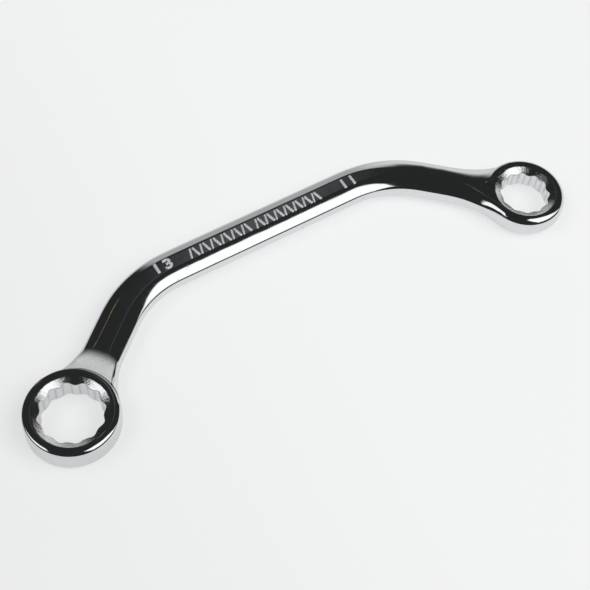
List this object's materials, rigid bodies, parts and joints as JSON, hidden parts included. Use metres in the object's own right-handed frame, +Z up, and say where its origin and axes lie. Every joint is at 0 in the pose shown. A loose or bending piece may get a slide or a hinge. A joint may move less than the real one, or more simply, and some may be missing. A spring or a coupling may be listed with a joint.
{
  "type": "obstruction spanner",
  "caption": "Half-moon obstruction spanner: a bowed flat-sided shank between two twelve-point ring ends of different sizes, one chrome-plated forging.",
  "frame": {"origin": "centre of the footprint, on the plane that the large ring's underside rests on", "axes": "+X from the large ring to the small ring, +Y towards the outside of the bow, +Z up, square to the rings' faces"},
  "size_m": [0.1454, 0.0394, 0.0066],
  "materials": {
    "chrome_plate": "polished chrome plate"
  },
  "bodies": {
    "root": {"spanner_forging": "chrome_plate"}
  },
  "joints": []
}
